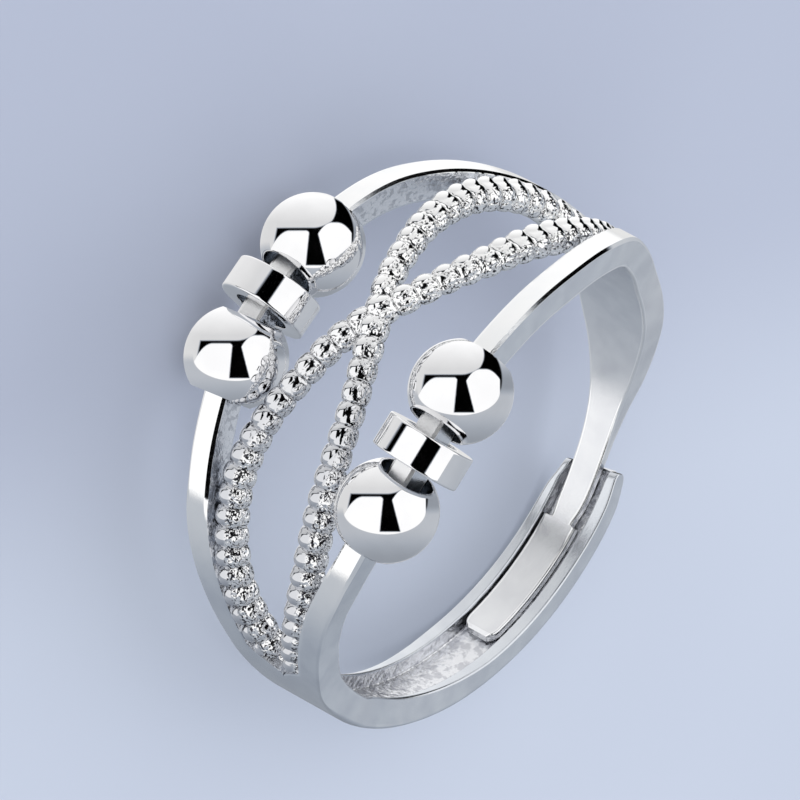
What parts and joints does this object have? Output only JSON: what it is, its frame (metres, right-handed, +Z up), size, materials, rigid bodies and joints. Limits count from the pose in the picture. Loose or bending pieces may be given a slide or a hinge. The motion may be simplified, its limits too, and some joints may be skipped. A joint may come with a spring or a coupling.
{
  "type": "spinner ring",
  "caption": "Open adjustable finger ring with two plain rails, crossing beaded strands and loose drilled beads that spin on the rails",
  "frame": {"origin": "on the floor, under the middle of the laid ring's outline", "axes": "+Z up, the way the ring lies on its side; -Y towards the side with the beads; the ring's own axis leans 14 degrees from +Z towards +Y"},
  "size_m": [0.019, 0.0204, 0.0114],
  "materials": {
    "cast_silver": "polished on the rails' tops, satin on the sides",
    "polished_silver": "mirror polish"
  },
  "bodies": {
    "frame": {"ring_frame": "cast_silver"},
    "ball_upper_left": {"ball_upper_left": "polished_silver"},
    "washer_left": {"washer_left": "polished_silver"},
    "ball_lower_left": {"ball_lower_left": "polished_silver"},
    "ball_upper_right": {"ball_upper_right": "polished_silver"},
    "washer_right": {"washer_right": "polished_silver"},
    "ball_lower_right": {"ball_lower_right": "polished_silver"}
  },
  "joints": [
    {"name": "ball_upper_left_spin", "type": "hinge", "parent": "frame", "child": "ball_upper_left", "pos_m": [-0.00123, -0.00847, 0.00175], "axis": [0.9894, -0.1367, 0.0494], "continuous": true},
    {"name": "washer_left_spin", "type": "hinge", "parent": "frame", "child": "washer_left", "pos_m": [0.00109, -0.00849, 0.00181], "axis": [0.9928, 0.1197, -0.0028], "continuous": true},
    {"name": "ball_lower_left_spin", "type": "hinge", "parent": "frame", "child": "ball_lower_left", "pos_m": [0.00333, -0.00792, 0.00175], "axis": [0.9234, 0.3837, 0.0144], "continuous": true},
    {"name": "ball_upper_right_spin", "type": "hinge", "parent": "frame", "child": "ball_upper_right", "pos_m": [0.00073, -0.00653, 0.00966], "axis": [0.9959, 0.0903, -0.0043], "continuous": true},
    {"name": "washer_right_spin", "type": "hinge", "parent": "frame", "child": "washer_right", "pos_m": [0.00299, -0.00605, 0.00954], "axis": [0.9377, 0.3185, -0.1393], "continuous": true},
    {"name": "ball_lower_right_spin", "type": "hinge", "parent": "frame", "child": "ball_lower_right", "pos_m": [0.00504, -0.00508, 0.00898], "axis": [0.8021, 0.4958, -0.3329], "continuous": true}
  ]
}
